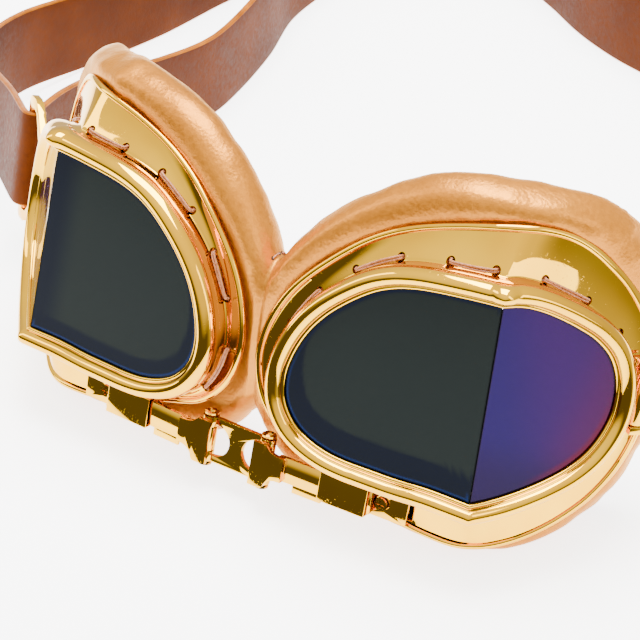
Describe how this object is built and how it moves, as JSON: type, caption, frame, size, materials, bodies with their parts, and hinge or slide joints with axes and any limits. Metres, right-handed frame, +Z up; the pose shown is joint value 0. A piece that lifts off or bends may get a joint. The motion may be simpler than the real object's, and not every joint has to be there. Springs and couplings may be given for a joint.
{
  "type": "motorcycle goggles",
  "caption": "Vintage split-lens riding goggles: hinged gold eyepieces laced to a leather mask, with a sliding nose bridge and a leather head strap.",
  "frame": {"origin": "middle of the whole object's box, on the surface that the mask's lower edge and the strap's lower edge rest on", "axes": "+Z up from the surface, -Y the way the lenses face, +X towards the wearer's left; the eyepieces lean back 18 degrees from upright"},
  "size_m": [0.2729, 0.2644, 0.0815],
  "materials": {
    "gold_plate": "mirror gold plating",
    "fastener_gold": "polished gold plating, slightly darker",
    "front_lens": "dark grey-green mirrored, glossy",
    "side_lens": "blue-violet mirrored, glossy",
    "black_rubber": "matt black",
    "mask_leather": "champagne-gold metallic grained leather",
    "lining": "brown napped lining",
    "lace_thread": "waxed pinkish-gold thread",
    "strap_leather": "brown-orange suede-like leather with painted orange edges"
  },
  "bodies": {
    "bridge": {"bridge_link": "gold_plate", "left_hinge_pin": "fastener_gold", "right_hinge_pin": "fastener_gold", "nose_leather": "mask_leather", "strap": "strap_leather"},
    "left_arm": {"left_arm": "gold_plate"},
    "left_cup": {"left_frame": "gold_plate", "left_rim": "gold_plate", "left_front_pane": "front_lens", "left_side_pane": "side_lens", "left_pane_bar": "black_rubber", "left_gasket": "black_rubber", "left_mask": "mask_leather", "left_face_pad": "lining", "left_lace": "lace_thread", "left_base_plate": "gold_plate", "left_keeper": "gold_plate", "left_clamp_screw": "fastener_gold", "left_loop_bracket": "gold_plate", "left_loop_pin": "fastener_gold"},
    "left_loop": {"left_strap_loop": "gold_plate", "strap_rivet_upper": "fastener_gold", "strap_rivet_lower": "fastener_gold"},
    "right_arm": {"right_arm": "gold_plate"},
    "right_cup": {"right_frame": "gold_plate", "right_rim": "gold_plate", "right_front_pane": "front_lens", "right_side_pane": "side_lens", "right_pane_bar": "black_rubber", "right_gasket": "black_rubber", "right_mask": "mask_leather", "right_face_pad": "lining", "right_lace": "lace_thread", "right_base_plate": "gold_plate", "right_keeper": "gold_plate", "right_clamp_screw": "fastener_gold", "right_loop_bracket": "gold_plate", "right_loop_pin": "fastener_gold"},
    "right_loop": {"right_strap_loop": "gold_plate"},
    "buckle": {"strap_buckle": "gold_plate"}
  },
  "joints": [
    {"name": "left_nose_hinge", "type": "hinge", "parent": "bridge", "child": "left_arm", "pos_m": [0.02274, -0.12728, 0.01173], "axis": [0, 0.309, 0.9511], "range_deg": [-10, 10], "deforming": ["nose_leather", "strap"]},
    {"name": "left_width_slide", "type": "slide", "parent": "left_arm", "child": "left_cup", "axis": [0.9985, 0.0526, -0.0171], "range_m": [-0.001, 0.003], "deforming": ["nose_leather", "strap"]},
    {"name": "left_loop_swing", "type": "hinge", "parent": "left_cup", "child": "left_loop", "pos_m": [0.09577, -0.08989, 0.03586], "axis": [0, 0.309, 0.9511], "range_deg": [-35, 15], "deforming": ["strap"]},
    {"name": "right_nose_hinge", "type": "hinge", "parent": "bridge", "child": "right_arm", "pos_m": [0.00714, -0.12728, 0.01173], "axis": [0, -0.309, -0.9511], "range_deg": [-10, 10], "deforming": ["nose_leather", "strap"]},
    {"name": "right_width_slide", "type": "slide", "parent": "right_arm", "child": "right_cup", "axis": [-0.9985, 0.0526, -0.0171], "range_m": [-0.001, 0.003], "deforming": ["nose_leather", "strap"]},
    {"name": "right_loop_swing", "type": "hinge", "parent": "right_cup", "child": "right_loop", "pos_m": [-0.06589, -0.08989, 0.03586], "axis": [0, -0.309, -0.9511], "range_deg": [-35, 15], "deforming": ["strap"]},
    {"name": "buckle_slide", "type": "slide", "parent": "bridge", "child": "buckle", "axis": [0.7071, 0.7071, 0], "range_m": [-0.008, 0.008], "deforming": ["strap"]}
  ]
}
